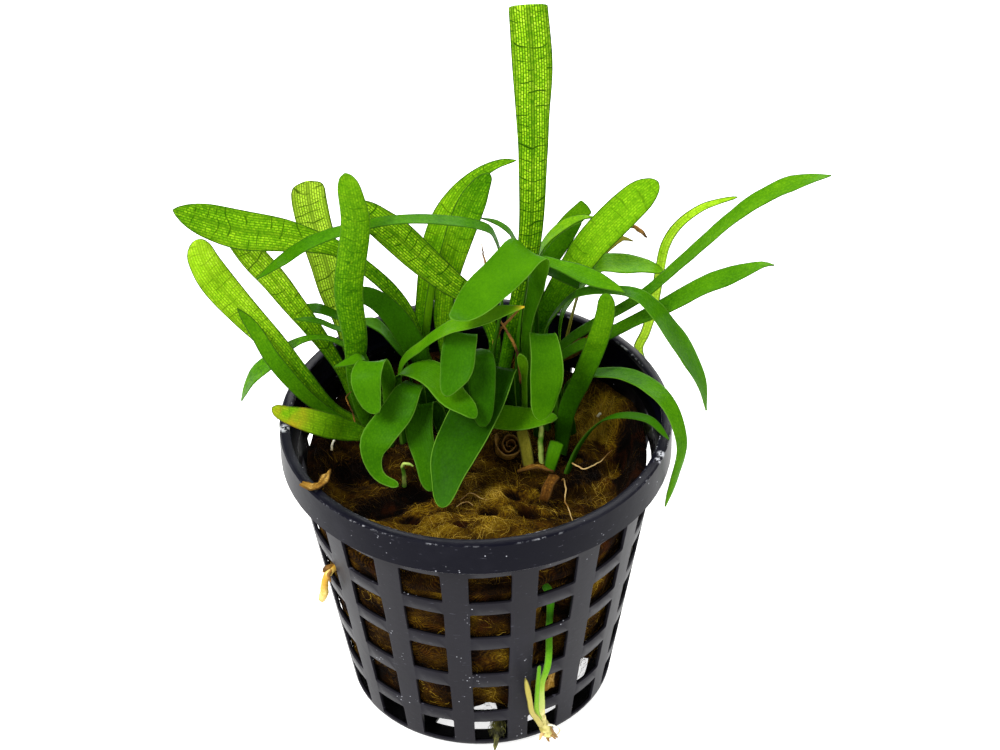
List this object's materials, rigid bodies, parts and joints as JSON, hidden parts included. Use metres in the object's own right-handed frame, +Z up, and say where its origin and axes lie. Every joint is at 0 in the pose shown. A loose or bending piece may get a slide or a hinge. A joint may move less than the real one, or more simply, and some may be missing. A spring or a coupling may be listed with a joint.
{
  "type": "potted aquarium plant",
  "caption": "Dwarf sagittaria with arching ribbon leaves rooted in a rockwool plug that sits in a slatted net pot, with a young plant on its outside.",
  "frame": {"origin": "centre of the pot's foot on the surface it stands on", "axes": "+Z up along the pot's axis, -Y towards the viewer of the picture, +X to the viewer's right"},
  "size_m": [0.0902, 0.055, 0.1067],
  "materials": {
    "pot_plastic": "moulded, charcoal black, lightly scuffed",
    "rockwool": "matted fibre, olive brown",
    "leaf_green": "waxy mid green leaf",
    "leaf_light": "thin yellow-green leaf with a dark net of veins",
    "leaf_old": "faded olive leaf",
    "root_tan": "dry tan root and dead leaf"
  },
  "bodies": {
    "root": {"pot": "pot_plastic", "rockwool": "rockwool", "leaf_left_1": "leaf_green", "leaf_left_2": "leaf_light", "leaf_left_3": "leaf_light", "leaf_left_4": "leaf_light", "leaf_left_5": "leaf_light", "leaf_left_6": "leaf_green", "leaf_left_7": "leaf_light", "leaf_left_8": "leaf_green", "leaf_left_9": "leaf_green", "leaf_left_10": "leaf_light", "leaf_left_11": "leaf_green", "leaf_left_12": "leaf_green", "leaf_left_13": "leaf_green", "leaf_left_14": "leaf_green", "leaf_left_15": "leaf_green", "leaf_left_16": "leaf_green", "leaf_middle_1": "leaf_light", "leaf_middle_2": "leaf_green", "leaf_middle_3": "leaf_green", "leaf_middle_4": "leaf_green", "leaf_middle_5": "leaf_green", "leaf_middle_6": "leaf_green", "leaf_middle_7": "leaf_green", "leaf_middle_8": "leaf_green", "leaf_middle_9": "leaf_green", "leaf_middle_10": "leaf_light", "leaf_middle_11": "leaf_green", "leaf_middle_12": "leaf_old", "leaf_right_1": "leaf_green", "leaf_right_2": "leaf_green", "leaf_right_3": "leaf_green", "leaf_right_4": "leaf_green", "leaf_right_5": "leaf_green", "leaf_right_6": "leaf_light", "leaf_right_7": "leaf_green", "leaf_right_8": "leaf_green", "leaf_right_9": "leaf_green", "leaf_right_10": "leaf_green", "leaf_right_11": "leaf_green", "leaf_right_12": "leaf_green", "leaf_back_1": "leaf_light", "leaf_back_2": "leaf_green", "leaf_back_3": "leaf_light", "leaf_back_4": "leaf_light", "leaf_back_5": "leaf_green", "leaf_back_6": "leaf_green", "leaf_back_7": "leaf_green", "leaf_back_8": "leaf_green", "leaf_back_9": "leaf_old", "dead_core": "root_tan", "runner_root_crown": "root_tan", "runner_leaf_main": "leaf_light", "runner_leaf_small": "leaf_light", "runner_leaf_pale": "leaf_old", "yellow_shoot": "leaf_light", "root_tuft": "leaf_old", "dried_flake": "root_tan"}
  },
  "joints": []
}
